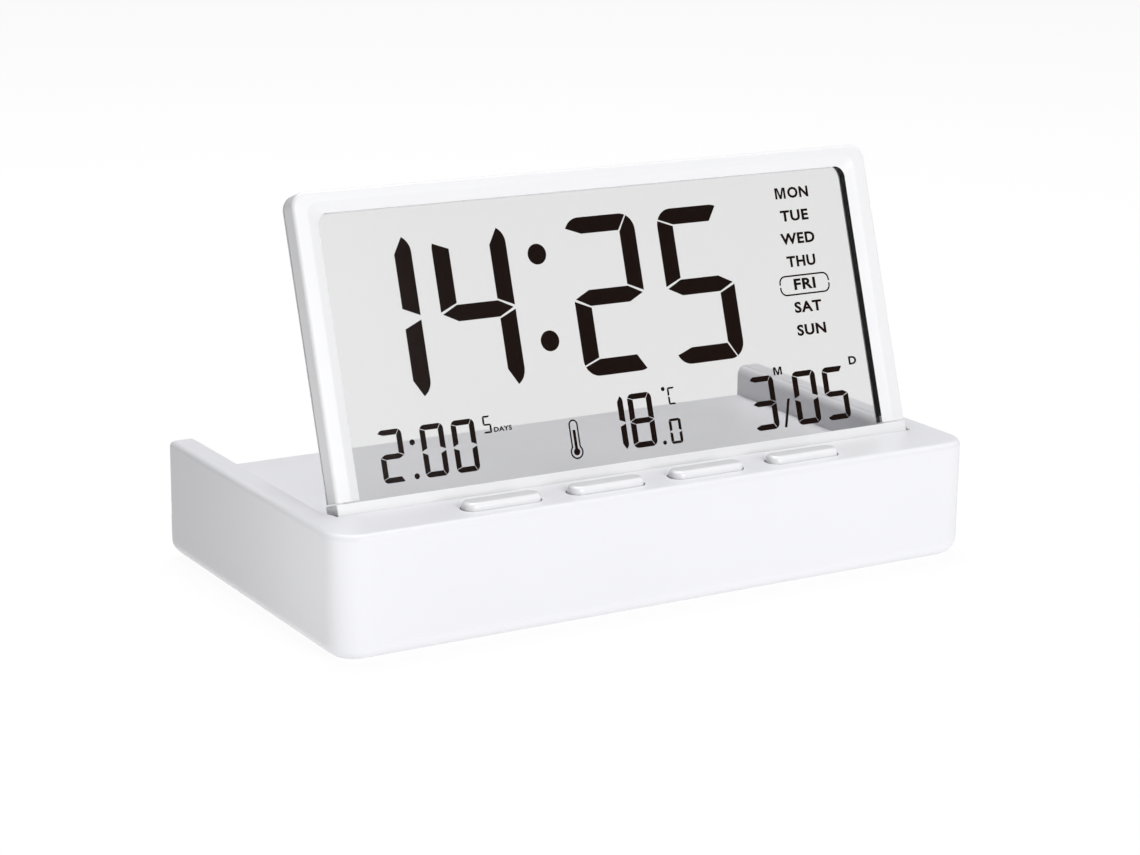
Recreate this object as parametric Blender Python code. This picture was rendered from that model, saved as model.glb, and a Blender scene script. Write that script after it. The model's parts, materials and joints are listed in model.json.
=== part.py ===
"""Folding digital alarm clock: a tray base with a see-through LCD screen that folds into it.

Metres, +Z up. The origin is the centre of the base's footprint, on the surface it stands on.
+X is the clock's right seen from the front, and the front faces -Y.
"""

import math

import bmesh
import bpy
from mathutils import Matrix, Vector

MM = 0.001
GAP = 0.3 * MM  # air between neighbouring pieces
FAR = 40 * MM  # how far a through-cut runs past the material

# Base, outside
BASE_W = 140 * MM
BASE_D = 76 * MM
BASE_H = 23.8 * MM
STEP = 0.5 * MM  # the back's lower band stands out this far
STEP_Z = 8.8 * MM
CORNER_R = 6.2 * MM  # front corners
BACK_R = 1.2 * MM  # back corners, at the ends of the side walls
TOP_R = 1.2 * MM
BOTTOM_R = 3.0 * MM
REAR_R = 5.5 * MM  # rounding under the back
FOOT_H = 0.4 * MM  # how far the rubber feet lift the case
RIM_Z = 6.5 * MM  # top of the bottom tub's rim, inside the upper case
WALL = 1.6 * MM
FLOOR_Z = 17.3 * MM  # tray floor that the folded screen lies over
SIDE_W = 6.0 * MM  # raised side walls of the tray
FLOOR_T = 1.5 * MM

# Screen
SCREEN_W = BASE_W - 2 * SIDE_W - 1.2 * MM
SCREEN_T = 4.8 * MM
LEAN = math.radians(18.4)  # back from upright when it stands open
SCREEN_TOP = 61.7 * MM  # from the hinge axis, along the screen
SCREEN_R = 3.0 * MM
STILE_W = 5.0 * MM
RAIL_TOP = 5.1 * MM
WINDOW_TOP = 57.6 * MM
WINDOW_R = 2.2 * MM
CHAMFER = 2.0 * MM
SEAL_FRONT = 0.8 * MM  # depths behind the screen's front plane
LCD_FRONT = 3.0 * MM
BEZEL_BACK = 3.6 * MM
COVER_FRONT = 3.9 * MM
LIP_FRONT = 4.35 * MM
LCD_MARGIN = 2.0 * MM  # how far the cell runs behind the window's edge
GLASS_T = 0.4 * MM
FILM_T = 0.12 * MM
FILM_GAP = 0.05 * MM

# Hinge
BARREL_R = SCREEN_T / 2
TROUGH_R = BARREL_R + GAP
HINGE_Z = FLOOR_Z + TROUGH_R
SCREEN_FRONT_Y = -24.95 * MM  # where the open screen's front plane meets the ledge top
HINGE_RISE = (BASE_H - HINGE_Z - BARREL_R * math.sin(LEAN)) / math.cos(LEAN)
HINGE_Y = SCREEN_FRONT_Y - HINGE_RISE * math.sin(LEAN) + BARREL_R * math.cos(LEAN)
PIN_R = 1.0 * MM
PIN_IN = 3.0 * MM
PIN_OUT = 3.1 * MM

# Buttons
BUTTON_X = [(i - 1.5) * 22.2 * MM - 0.8 * MM for i in range(4)]
BUTTON_Y = -32.2 * MM
BUTTON_L = 16.0 * MM
BUTTON_W = 4.2 * MM
BUTTON_TOP = BASE_H + 1.4 * MM
BUTTON_TRAVEL = 0.6 * MM
FLANGE = 0.8 * MM
FLANGE_T = 0.6 * MM
SWITCH = 4.6 * MM
SWITCH_H = 2.7 * MM
PLUNGER_R = 1.1 * MM

# Circuit board
BOARD_TOP = 17.4 * MM
BOARD = ((-56 * MM, -36 * MM, BOARD_TOP - 1 * MM), (56 * MM, -28.2 * MM, BOARD_TOP))

# Batteries: two AAA cells side by side, along X
CELL_R = 5.25 * MM
CELL_L = 44.5 * MM
BAY_L = 52.4 * MM
BAY_W = 22.8 * MM
BAY_Y = 8 * MM
BAY_TOP = 13.0 * MM
BAY_WALL = 1.2 * MM
DOOR_T = 1.5 * MM

# Fasteners and feet
SCREWS = [(-60 * MM, -31 * MM), (60 * MM, -31 * MM), (-60 * MM, 30 * MM), (60 * MM, 30 * MM)]
FEET = [(-50 * MM, -29 * MM), (50 * MM, -29 * MM), (-48 * MM, 29 * MM), (48 * MM, 29 * MM)]
FOOT_R = 4.5 * MM
POSTS = [(-44.5 * MM, -32.1 * MM), (45.0 * MM, -32.1 * MM)]

for old in list(bpy.data.objects):
    bpy.data.objects.remove(old, do_unlink=True)

PARTS = bpy.data.collections.new("alarm_clock")
CUTTERS = bpy.data.collections.new("cutters")
bpy.context.scene.collection.children.link(PARTS)
bpy.context.scene.collection.children.link(CUTTERS)


def make_material(name, colour, roughness, metallic=0.0, alpha=1.0):
    mat = bpy.data.materials.new(name)
    mat.use_nodes = True
    shader = mat.node_tree.nodes["Principled BSDF"]
    shader.inputs["Base Color"].default_value = (*colour, 1)
    shader.inputs["Roughness"].default_value = roughness
    shader.inputs["Metallic"].default_value = metallic
    shader.inputs["Alpha"].default_value = alpha
    return mat


WHITE_ABS = make_material("white_abs", (0.86, 0.86, 0.87), 0.3)
GREY_ABS = make_material("grey_abs", (0.6, 0.6, 0.61), 0.45)
SEAL = make_material("seal_black", (0.015, 0.015, 0.013), 0.6)
LCD_GLASS = make_material("lcd_glass", (0.78, 0.79, 0.78), 0.05, alpha=0.3)
FILM = make_material("polariser_film", (0.5, 0.51, 0.5), 0.15, alpha=0.4)
STEEL = make_material("steel", (0.6, 0.6, 0.6), 0.3, metallic=1.0)
NICKEL = make_material("nickel_strip", (0.72, 0.7, 0.66), 0.35, metallic=1.0)
BRASS = make_material("brass_disc", (0.8, 0.62, 0.3), 0.35, metallic=1.0)
RUBBER = make_material("rubber", (0.3, 0.3, 0.3), 0.9)
BOARD_GREEN = make_material("board_green", (0.05, 0.25, 0.1), 0.5)
CHIP_BLACK = make_material("chip_black", (0.02, 0.02, 0.02), 0.5)
CELL_WRAP = make_material("cell_wrap", (0.1, 0.25, 0.45), 0.4)
ELASTOMER = make_material("elastomer", (0.5, 0.1, 0.12), 0.7)
WIRE_RED = make_material("wire_red", (0.6, 0.03, 0.02), 0.5)
WIRE_BLACK = make_material("wire_black", (0.02, 0.02, 0.02), 0.5)
CABLE_GREY = make_material("cable_grey", (0.5, 0.5, 0.52), 0.5)


def place(name, mesh, material=None, parent=None, at=None):
    """Links a mesh as a part, or as a cutter when it has no material."""
    obj = bpy.data.objects.new(name, mesh)
    if material is None:
        CUTTERS.objects.link(obj)
        obj.hide_render = True
        obj.display_type = "WIRE"
    else:
        PARTS.objects.link(obj)
        mesh.materials.clear()
        mesh.materials.append(material)
    if at is not None:
        mesh.transform(Matrix.Translation(-Vector(at)))
        obj.location = at
    obj.parent = parent
    return obj


def from_bmesh(bm, name, smooth=False):
    mesh = bpy.data.meshes.new(name)
    bm.to_mesh(mesh)
    bm.free()
    if smooth:
        mesh.shade_smooth()
        mesh.set_sharp_from_angle(angle=math.radians(35))
    return mesh


def box_bmesh(low, high):
    bm = bmesh.new()
    bmesh.ops.create_cube(bm, size=1)
    size = [h - l for l, h in zip(low, high)]
    centre = [(h + l) / 2 for l, h in zip(low, high)]
    bmesh.ops.scale(bm, vec=size, verts=bm.verts)
    bmesh.ops.translate(bm, vec=centre, verts=bm.verts)
    return bm


def edges_along(bm, axis):
    """Edges that run along one axis."""
    return [e for e in bm.edges if abs((e.verts[0].co - e.verts[1].co).normalized()[axis]) > 0.999]


def bevel(bm, edges, radius, segments):
    bmesh.ops.bevel(
        bm, geom=edges, offset=radius, segments=segments, profile=0.5, affect="EDGES", clamp_overlap=True
    )


def rim_edges(bm, axis, value):
    """Edges that lie in the flat face at one height on an axis."""
    near = 1e-6
    return [e for e in bm.edges if all(abs(v.co[axis] - value) < near for v in e.verts)]


def box(name, low, high, material=None, parent=None, at=None, round_axis=None, radius=0.0, segments=4):
    """A box, with the four edges along round_axis rounded where one is given."""
    bm = box_bmesh(low, high)
    if round_axis is not None:
        bevel(bm, edges_along(bm, round_axis), radius, segments)
    return place(name, from_bmesh(bm, name, smooth=round_axis is not None), material, parent, at)


def cylinder(name, start, end, radius, material=None, parent=None, sides=24, at=None, end_radius=None):
    start, end = Vector(start), Vector(end)
    bm = bmesh.new()
    bmesh.ops.create_cone(
        bm,
        cap_ends=True,
        segments=sides,
        radius1=radius,
        radius2=radius if end_radius is None else end_radius,
        depth=(end - start).length,
    )
    turn = Vector((0, 0, 1)).rotation_difference(end - start).to_matrix().to_4x4()
    bm.transform(Matrix.Translation((start + end) / 2) @ turn)
    return place(name, from_bmesh(bm, name, smooth=True), material, parent, at)


def curve_mesh(curve, name):
    """The closed mesh of a curve, with its caps welded."""
    obj = bpy.data.objects.new(name, curve)
    PARTS.objects.link(obj)
    bpy.context.view_layer.update()
    mesh = bpy.data.meshes.new_from_object(obj.evaluated_get(bpy.context.evaluated_depsgraph_get()))
    bpy.data.objects.remove(obj)
    bm = bmesh.new()
    bm.from_mesh(mesh)
    bmesh.ops.remove_doubles(bm, verts=bm.verts, dist=1e-6)
    bm.to_mesh(mesh)
    bm.free()
    return mesh


def poly_curve(name, points, cyclic):
    curve = bpy.data.curves.new(name, "CURVE")
    curve.dimensions = "2D" if cyclic else "3D"
    spline = curve.splines.new("POLY")
    spline.points.add(len(points) - 1)
    for point, co in zip(spline.points, points):
        point.co = (*co, *([0] * (3 - len(co))), 1)
    spline.use_cyclic_u = cyclic
    return curve


def profile_prism(name, outline, half_width, material=None, parent=None):
    """An outline of (y, z) points, run out to half_width on both sides along X."""
    curve = poly_curve(name, outline, cyclic=True)
    curve.fill_mode = "BOTH"
    curve.extrude = half_width
    mesh = curve_mesh(curve, name)
    mesh.transform(Matrix(((0, 0, 1, 0), (1, 0, 0, 0), (0, 1, 0, 0), (0, 0, 0, 1))))
    return place(name, mesh, material, parent)


def wire(name, points, radius, material, parent=None, resolution=1):
    curve = poly_curve(name, points, cyclic=False)
    curve.bevel_depth = radius
    curve.bevel_resolution = resolution
    curve.use_fill_caps = True
    mesh = curve_mesh(curve, name)
    mesh.shade_smooth()
    mesh.set_sharp_from_angle(angle=math.radians(40))
    return place(name, mesh, material, parent)


def smooth_route(points, steps):
    """Points on a smooth line through the given ones."""
    ends = [points[0], *points, points[-1]]
    route = []
    for a, b, c, d in zip(ends, ends[1:], ends[2:], ends[3:]):
        a, b, c, d = (Vector(p) for p in (a, b, c, d))
        for i in range(steps):
            t = i / steps
            route.append(
                0.5 * (2 * b + (c - a) * t + (2 * a - 5 * b + 4 * c - d) * t**2 + (3 * b - a - 3 * c + d) * t**3)
            )
    return [*route, Vector(points[-1])]


def combine(target, tool, operation):
    mod = target.modifiers.new(tool.name, "BOOLEAN")
    mod.operation = operation
    mod.solver = "EXACT"
    mod.object = tool


def cut(target, *tools):
    for tool in tools:
        combine(target, tool, "DIFFERENCE")


def join(target, *tools):
    for tool in tools:
        combine(target, tool, "UNION")


def arc(centre, radius, start, end, steps):
    """Points on an arc in the (y, z) plane, angles from +Y towards +Z."""
    turns = [start + (end - start) * i / steps for i in range(steps + 1)]
    return [(centre[0] + radius * math.cos(a), centre[1] + radius * math.sin(a)) for a in turns]


# ---- Base ----
FRONT_Y = -BASE_D / 2
BACK_Y = BASE_D / 2
HALF_W = BASE_W / 2
CASE_Z = FOOT_H  # underside of the lower case
PLATE_TOP = CASE_Z + WALL
PILLAR_TOP = 5.2 * MM  # where the bottom tub's screw pillars meet the upper case's bosses


def recess_outline(grow):
    """The tray's hollow from the side: the slanted ledge face, the hinge trough and the flat floor."""
    radius = TROUGH_R + grow
    ledge = HINGE_RISE + FAR
    slope = math.pi / 2 - LEAN
    tangent = (HINGE_Y - radius * math.cos(LEAN), HINGE_Z + radius * math.sin(LEAN))
    top = (tangent[0] + ledge * math.cos(slope), tangent[1] + ledge * math.sin(slope))
    trough = arc((HINGE_Y, HINGE_Z), radius, math.pi - LEAN, 1.5 * math.pi, 7)
    return [top, *trough, (BACK_Y + FAR, HINGE_Z - radius), (BACK_Y + FAR, top[1])]


def case_prism(name, inset, low, high, back, top_r=0.0, bottom_r=0.0, material=None):
    """The base's footprint, inset, between two heights, with its top and bottom edges rounded."""
    bm = box_bmesh((-HALF_W + inset, FRONT_Y + inset, low), (HALF_W - inset, back - inset, high))
    bevel(bm, [e for e in edges_along(bm, 2) if e.verts[0].co.y < 0], CORNER_R - inset, 6)
    bevel(bm, [e for e in edges_along(bm, 2) if e.verts[0].co.y > 0], max(BACK_R - inset, 0.3 * MM), 3)
    if top_r:
        bevel(bm, rim_edges(bm, 2, high), top_r, 3)
    if bottom_r:
        bevel(bm, rim_edges(bm, 2, low), bottom_r, 4)
    return place(name, from_bmesh(bm, name, smooth=material is not None), material)


def rear_round(name):
    """A cutter that rounds the underside off towards the back."""
    centre = (BACK_Y - REAR_R, CASE_Z + REAR_R)
    curve = arc(centre, REAR_R, -math.pi / 2, 0, 8)
    past = [(BACK_Y + FAR, centre[1]), (BACK_Y + FAR, -FAR), (centre[0], -FAR)]
    return profile_prism(name, [*curve, *past], HALF_W + FAR)


def pill(name, x, y, low, high, length, width, material=None, parent=None, at=None, crown=0.0):
    """An upright slug with round ends, its top edge rounded by crown."""
    bm = box_bmesh((x - length / 2, y - width / 2, low), (x + length / 2, y + width / 2, high))
    bevel(bm, edges_along(bm, 2), width / 2 * 0.999, 6)
    if crown:
        bevel(bm, rim_edges(bm, 2, high), crown, 3)
    bmesh.ops.remove_doubles(bm, verts=bm.verts, dist=2e-6)
    return place(name, from_bmesh(bm, name, smooth=True), material, parent, at)


def upper_case():
    body = case_prism("upper_case", 0, CASE_Z, BASE_H, BACK_Y - STEP, TOP_R, BOTTOM_R, WHITE_ABS)
    inner = 0.02 * MM  # keeps the band's faces off the case's own
    band = case_prism("back_band", inner, CASE_Z + inner, STEP_Z, BACK_Y + inner, 0.4 * MM, BOTTOM_R)
    join(body, band)
    cut(body, rear_round("upper_rear_round"))
    hollow = case_prism("upper_hollow", WALL, -FAR, BASE_H - WALL, BACK_Y - STEP)
    cut(hollow, profile_prism("recess_wall", recess_outline(FLOOR_T), HALF_W - SIDE_W + FLOOR_T))
    for i, (x, y) in enumerate(SCREWS):
        cut(hollow, cylinder(f"boss_{i}", (x, y, PILLAR_TOP + GAP), (x, y, BASE_H), 2.6 * MM))
    cut(body, hollow, profile_prism("recess", recess_outline(0), HALF_W - SIDE_W))
    for i, (x, y) in enumerate(SCREWS):
        cut(body, cylinder(f"boss_bore_{i}", (x, y, 0), (x, y, 12.4 * MM), 1.2 * MM, sides=16))
    for i, x in enumerate(BUTTON_X):
        size = BUTTON_L + 2 * GAP, BUTTON_W + 2 * GAP
        cut(body, pill(f"button_hole_{i}", x, BUTTON_Y, BASE_H - 3 * MM, BASE_H + FAR, *size))
    for side, name in ((-1, "left"), (1, "right")):
        inner = side * (HALF_W - SIDE_W - 1 * MM)
        outer = side * (HALF_W - SIDE_W + FLOOR_T + 1 * MM)
        bore = (inner, HINGE_Y, HINGE_Z), (outer, HINGE_Y, HINGE_Z)
        cut(body, cylinder(f"pin_bore_{name}", *bore, PIN_R + GAP, sides=20))


def lower_case():
    outside = WALL + GAP
    body = case_prism("lower_case", outside, CASE_Z, RIM_Z, BACK_Y - STEP, 0, 0.4 * MM, WHITE_ABS)
    cut(body, case_prism("lower_hollow", outside + 1 * MM, PLATE_TOP, FAR, BACK_Y - STEP))
    cut(body, rear_round("lower_rear_round"))
    bay = BAY_L / 2, BAY_W / 2
    wall = BAY_WALL
    low = (-bay[0] - wall, BAY_Y - bay[1] - wall, PLATE_TOP - 0.5 * MM)
    join(body, box("bay_block", low, (bay[0] + wall, BAY_Y + bay[1] + wall, BAY_TOP + 0.7 * MM)))
    for i, (x, y) in enumerate(SCREWS):
        join(body, cylinder(f"pillar_{i}", (x, y, PLATE_TOP - 0.5 * MM), (x, y, PILLAR_TOP), 3.6 * MM))
    for i, (x, y) in enumerate(POSTS):
        join(body, cylinder(f"post_{i}", (x, y, PLATE_TOP - 0.5 * MM), (x, y, BOARD[0][2] - GAP), 2.2 * MM, sides=16))
    cut(body, box("bay", (-bay[0], BAY_Y - bay[1], -FAR), (bay[0], BAY_Y + bay[1], BAY_TOP)))
    for i, (x, y) in enumerate(SCREWS):
        cut(body, cylinder(f"head_bore_{i}", (x, y, -FAR), (x, y, 3.2 * MM), 2.7 * MM))
        cut(body, cylinder(f"shank_bore_{i}", (x, y, 2 * MM), (x, y, 10 * MM), 1.3 * MM, sides=16))
    for i, (x, y) in enumerate(POSTS):
        cut(body, cylinder(f"post_bore_{i}", (x, y, 8 * MM), (x, y, 20 * MM), 1.1 * MM, sides=12))
    for i, (x, y) in enumerate(FEET):
        cut(body, cylinder(f"foot_seat_{i}", (x, y, -FAR), (x, y, CASE_Z + 0.8 * MM), FOOT_R + GAP))
    for i in range(6):
        turn = i * math.pi / 3
        x, y = 44 * MM + 3.2 * MM * math.cos(turn), BAY_Y + 3.2 * MM * math.sin(turn)
        cut(body, cylinder(f"sound_hole_{i}", (x, y, -FAR), (x, y, FAR), 0.7 * MM, sides=10))


def feet_and_screws():
    for name, (x, y) in zip(("front_left", "front_right", "rear_left", "rear_right"), FEET):
        cylinder(f"foot_{name}", (x, y, 0), (x, y, FOOT_H + 0.5 * MM), FOOT_R, RUBBER)
    for name, (x, y) in zip(("front_left", "front_right", "rear_left", "rear_right"), SCREWS):
        screw(f"case_screw_{name}", x, y, 1.5 * MM, 3.0 * MM, 11.8 * MM, 2.3 * MM, 0.9 * MM)
    for i, (x, y) in enumerate(POSTS):
        neck = BOARD_TOP + GAP
        screw(f"board_screw_{i + 1}", x, y, neck + 1.3 * MM, neck, neck - 7 * MM, 1.7 * MM, 0.75 * MM)


def screw(name, x, y, head_end, neck, tip, head_r, shank_r):
    """A pan-head screw along Z, with a cross slot in its head."""
    body = cylinder(name, (x, y, head_end), (x, y, neck), head_r, STEEL, sides=16)
    into = math.copysign(0.4 * MM, head_end - neck)
    join(body, cylinder(f"{name}_shank", (x, y, neck + into), (x, y, tip), shank_r, sides=12))
    depth = head_end - 1.75 * into
    for i, (a, b) in enumerate(((1.2 * MM, 0.3 * MM), (0.3 * MM, 1.2 * MM))):
        low = (x - a, y - b, min(depth, head_end + into))
        cut(body, box(f"{name}_slot_{i}", low, (x + a, y + b, max(depth, head_end + into))))


def buttons():
    for i, x in enumerate(BUTTON_X):
        axis_point = (x, BUTTON_Y, BASE_H)
        flange_low = BASE_H - WALL - GAP - FLANGE_T
        size = BUTTON_L, BUTTON_W
        cap = pill(
            f"button_{i + 1}", x, BUTTON_Y, flange_low, BUTTON_TOP, *size, WHITE_ABS, at=axis_point, crown=0.9 * MM
        )
        flange = BUTTON_L + 2 * FLANGE, BUTTON_W + 2 * FLANGE
        join(cap, pill(f"flange_{i}", x, BUTTON_Y, flange_low, flange_low + FLANGE_T, *flange))
        top = BOARD[1][2] + GAP + SWITCH_H
        low = (x - SWITCH / 2, BUTTON_Y - SWITCH / 2, BOARD[1][2] + GAP)
        switch = box(f"tact_switch_{i + 1}", low, (x + SWITCH / 2, BUTTON_Y + SWITCH / 2, top), CHIP_BLACK)
        bore = (x, BUTTON_Y, top - 2 * MM), (x, BUTTON_Y, top + FAR)
        cut(switch, cylinder(f"plunger_bore_{i}", *bore, PLUNGER_R + GAP, sides=16))
        stem = (x, BUTTON_Y, top - 1 * MM), (x, BUTTON_Y, flange_low - GAP)
        cylinder(f"switch_plunger_{i + 1}", *stem, PLUNGER_R, GREY_ABS, sides=16)


def board():
    low, high = BOARD
    body = box("main_board", low, high, BOARD_GREEN)
    for i, (x, y) in enumerate(POSTS):
        cut(body, cylinder(f"board_hole_{i}", (x, y, 0), (x, y, FAR), 1.1 * MM, sides=12))
    y = (low[1] + high[1]) / 2
    under, over = low[2] - GAP, high[2] + GAP
    box("clock_chip", (14 * MM, y - 3 * MM, under - 1.2 * MM), (24 * MM, y + 3 * MM, under), CHIP_BLACK)
    cylinder("quartz_crystal", (-24 * MM, y, under - 1 * MM), (-18 * MM, y, under - 1 * MM), 1 * MM, STEEL, sides=12)
    mid = (BUTTON_X[1] + BUTTON_X[2]) / 2
    cap_r = 1.4 * MM
    cap = (mid - 2 * MM, y, over + cap_r), (mid + 2 * MM, y, over + cap_r)
    cylinder("capacitor", *cap, cap_r, CELL_WRAP, sides=16)
    cylinder("temperature_sensor", (-52 * MM, y, under - 2.4 * MM), (-52 * MM, y, under), 1 * MM, CHIP_BLACK, sides=12)
    disc = (44 * MM, BAY_Y, PLATE_TOP + GAP), (44 * MM, BAY_Y, PLATE_TOP + GAP + 0.5 * MM)
    cylinder("piezo_buzzer", *disc, 9 * MM, BRASS, sides=32)


def cell(name, y, toward):
    """A AAA cell along X, its raised terminal towards +X or -X."""
    bm = bmesh.new()
    bmesh.ops.create_cone(bm, cap_ends=True, segments=24, radius1=CELL_R, radius2=CELL_R, depth=CELL_L - 1 * MM)
    bm.faces.ensure_lookup_table()
    end = max(bm.faces, key=lambda f: f.calc_center_median().z)
    bmesh.ops.inset_region(bm, faces=[end], thickness=CELL_R - 1.9 * MM)
    nub = bmesh.ops.extrude_discrete_faces(bm, faces=[end])["faces"][0]
    bmesh.ops.translate(bm, vec=(0, 0, 1 * MM), verts=nub.verts)
    bm.transform(Matrix.Translation((0, y, CELL_Z)) @ Matrix.Rotation(toward * math.pi / 2, 4, "Y"))
    place(name, from_bmesh(bm, name, smooth=True), CELL_WRAP)


def spring(name, x, y, direction):
    """A conical contact spring, widest at the wall."""
    turns, per_turn, length = 2.5, 10, 2.3 * MM
    count = round(turns * per_turn)
    points = []
    for i in range(count + 1):
        part = i / count
        radius = (3.4 - 1.2 * part) * MM
        angle = part * turns * 2 * math.pi
        reach = x + direction * length * part
        points.append((reach, y + radius * math.cos(angle), CELL_Z + radius * math.sin(angle)))
    wire(name, points, 0.3 * MM, STEEL)


CELL_Z = PLATE_TOP + 0.2 * MM + CELL_R
CELL_YS = (BAY_Y - CELL_R - 0.25 * MM, BAY_Y + CELL_R + 0.25 * MM)


def batteries():
    cell("battery_cell_1", CELL_YS[0], -1)
    cell("battery_cell_2", CELL_YS[1], 1)
    wall = BAY_L / 2 - GAP
    plate = 0.3 * MM
    tall = CELL_Z - 4 * MM, CELL_Z + 4 * MM
    half = 4 * MM
    y0, y1 = CELL_YS
    box("battery_positive_contact", (-wall, y0 - half, tall[0]), (-wall + plate, y0 + half, tall[1]), NICKEL)
    box("battery_bridge_plate", (wall - plate, y0 - half, tall[0]), (wall, y1 + half, tall[1]), NICKEL)
    box("battery_negative_plate", (-wall, y1 - half, tall[0]), (-wall + plate, y1 + half, tall[1]), NICKEL)
    inner = wall - plate - 0.6 * MM
    spring("battery_bridge_spring", inner, y0, -1)
    spring("battery_negative_spring", -inner, y1, 1)
    door()


def door():
    low_y, high_y = BAY_Y - BAY_W / 2 + GAP, BAY_Y + BAY_W / 2 - GAP
    half = BAY_L / 2 - GAP
    pivot = (0, low_y, CASE_Z)
    cover = box("battery_door", (-half, low_y, CASE_Z), (half, high_y, CASE_Z + DOOR_T), WHITE_ABS, at=pivot)
    top = CASE_Z + DOOR_T
    for i, x in enumerate((-14 * MM, 14 * MM)):
        lug = (x - 3 * MM, low_y + 0.2 * MM, top - 0.5 * MM), (x + 3 * MM, low_y + 1.4 * MM, top + 1.6 * MM)
        join(cover, box(f"door_lug_{i}", *lug))
    for i in range(4):
        y = high_y - (2.2 + 1.3 * i) * MM
        groove = (-5 * MM, y - 0.3 * MM, CASE_Z - 1 * MM), (5 * MM, y + 0.3 * MM, CASE_Z + 0.4 * MM)
        cut(cover, box(f"door_groove_{i}", *groove))


def cables():
    exit_x = -BAY_L / 2 - BAY_WALL - GAP - 0.6 * MM
    low, high = BOARD
    under = low[2] - GAP
    leads = (
        ("battery_lead_red", WIRE_RED, CELL_YS[0], -33 * MM, 9 * MM),
        ("battery_lead_black", WIRE_BLACK, CELL_YS[1], -37 * MM, 6 * MM),
    )
    for name, colour, y, board_x, z in leads:
        route = [
            (exit_x, y, z),
            (exit_x - 4 * MM, y - 6 * MM, z),
            (board_x, -14 * MM, z),
            (board_x, -28 * MM, z + 1 * MM),
            (board_x, -31 * MM, under - 0.6 * MM),
        ]
        wire(name, smooth_route(route, 4), 0.55 * MM, colour)
    side_x = -HALF_W + WALL + 0.9 * MM
    run_z = HINGE_Z - 1 * MM
    route = [
        (low[0] + 1 * MM, -34 * MM, high[2] + 1.2 * MM),
        (low[0] - 2 * MM, -34.6 * MM, high[2] + 1.4 * MM),
        (side_x + 3 * MM, -34.4 * MM, run_z),
        (side_x, -31 * MM, run_z),
        (side_x, -27.5 * MM, run_z),
        (side_x, HINGE_Y, HINGE_Z),
    ]
    wire("display_cable", smooth_route(route, 4), 0.6 * MM, CABLE_GREY)


# ---- Screen: built upright about the hinge axis, then leaned back by its parent ----
HINGE = bpy.data.objects.new("screen_hinge", None)
PARTS.objects.link(HINGE)
HINGE.location = (0, HINGE_Y, HINGE_Z)
HINGE.rotation_euler = (-LEAN, 0, 0)
HALF_S = SCREEN_W / 2
WINDOW_X = HALF_S - STILE_W
FACE_Y = -SCREEN_T / 2  # the front plane, in the upright screen


def plane(depth):
    """Y of a plane that lies this deep behind the upright screen's front."""
    return FACE_Y + depth


def window(name, half, top, near, far, radius, bottom=-FAR, segments=4):
    """A cutter with the shape of the window, open at the bottom, between two depths."""
    bm = box_bmesh((-half, plane(near), bottom), (half, plane(far), top))
    upper = [e for e in edges_along(bm, 1) if e.verts[0].co.z > 0]
    bevel(bm, upper, radius, segments)
    return place(name, from_bmesh(bm, name), parent=HINGE)


def frame_blank(name, near, far, front_round):
    """The screen's outer outline between two depths, above the bottom rail."""
    bottom = RAIL_TOP + GAP
    bm = box_bmesh((-HALF_S, plane(near), bottom), (HALF_S, plane(far), SCREEN_TOP))
    bevel(bm, [e for e in edges_along(bm, 1) if e.verts[0].co.z > bottom + 1 * MM], SCREEN_R, 6)
    outer = near if front_round else far
    rim = [e for e in rim_edges(bm, 1, plane(outer)) if max(v.co.z for v in e.verts) > bottom + 1e-6]
    bevel(bm, rim, 0.5 * MM, 2)
    return place(name, from_bmesh(bm, name, smooth=True), WHITE_ABS, HINGE)


def flared_window():
    """The window's sloped inner border, wider at the front plane than at the seal."""
    bm = box_bmesh((-WINDOW_X, plane(SEAL_FRONT), -FAR), (WINDOW_X, plane(SEAL_FRONT + 2 * MM), WINDOW_TOP))
    bevel(bm, [e for e in edges_along(bm, 1) if e.verts[0].co.z > 0], WINDOW_R, 4)
    bm.faces.ensure_lookup_table()
    front = min(bm.faces, key=lambda f: f.calc_center_median().y)
    moved = bmesh.ops.extrude_discrete_faces(bm, faces=[front])["faces"][0]
    past = 0.4 * MM
    reach = CHAMFER * (SEAL_FRONT + past) / SEAL_FRONT
    grow = (WINDOW_X + reach) / WINDOW_X
    for vert in moved.verts:
        vert.co.y = plane(-past)
        vert.co.x *= grow
        if vert.co.z > 0:
            vert.co.z += reach
    return place("window_flare", from_bmesh(bm, "window_flare"), parent=HINGE)


def screen_frame():
    bezel = frame_blank("front_bezel", 0, BEZEL_BACK, True)
    cut(bezel, flared_window())
    seal_room = 0.85 * MM
    room = WINDOW_X + seal_room, WINDOW_TOP + seal_room
    cut(bezel, window("seal_room", *room, SEAL_FRONT, SCREEN_T, WINDOW_R + seal_room))
    edge = LCD_MARGIN + GAP
    cut(bezel, window("lcd_room", WINDOW_X + edge, WINDOW_TOP + edge, LCD_FRONT - GAP, SCREEN_T, 0.5 * MM))
    cover = frame_blank("rear_cover", COVER_FRONT, SCREEN_T, False)
    cut(cover, window("cover_room", WINDOW_X + edge, WINDOW_TOP + edge, 0, LIP_FRONT, 0.5 * MM))
    cut(cover, window("cover_window", WINDOW_X, WINDOW_TOP, 0, SCREEN_T + FAR, WINDOW_R))
    seal = window("window_seal", WINDOW_X + 0.55 * MM, WINDOW_TOP + 0.55 * MM, SEAL_FRONT + GAP,
                  LCD_FRONT - GAP, WINDOW_R + 0.55 * MM, RAIL_TOP + GAP)
    CUTTERS.objects.unlink(seal)
    PARTS.objects.link(seal)
    seal.hide_render = False
    seal.display_type = "TEXTURED"
    seal.data.materials.append(SEAL)
    cut(seal, window("seal_window", WINDOW_X, WINDOW_TOP, 0, SCREEN_T, WINDOW_R))


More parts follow.
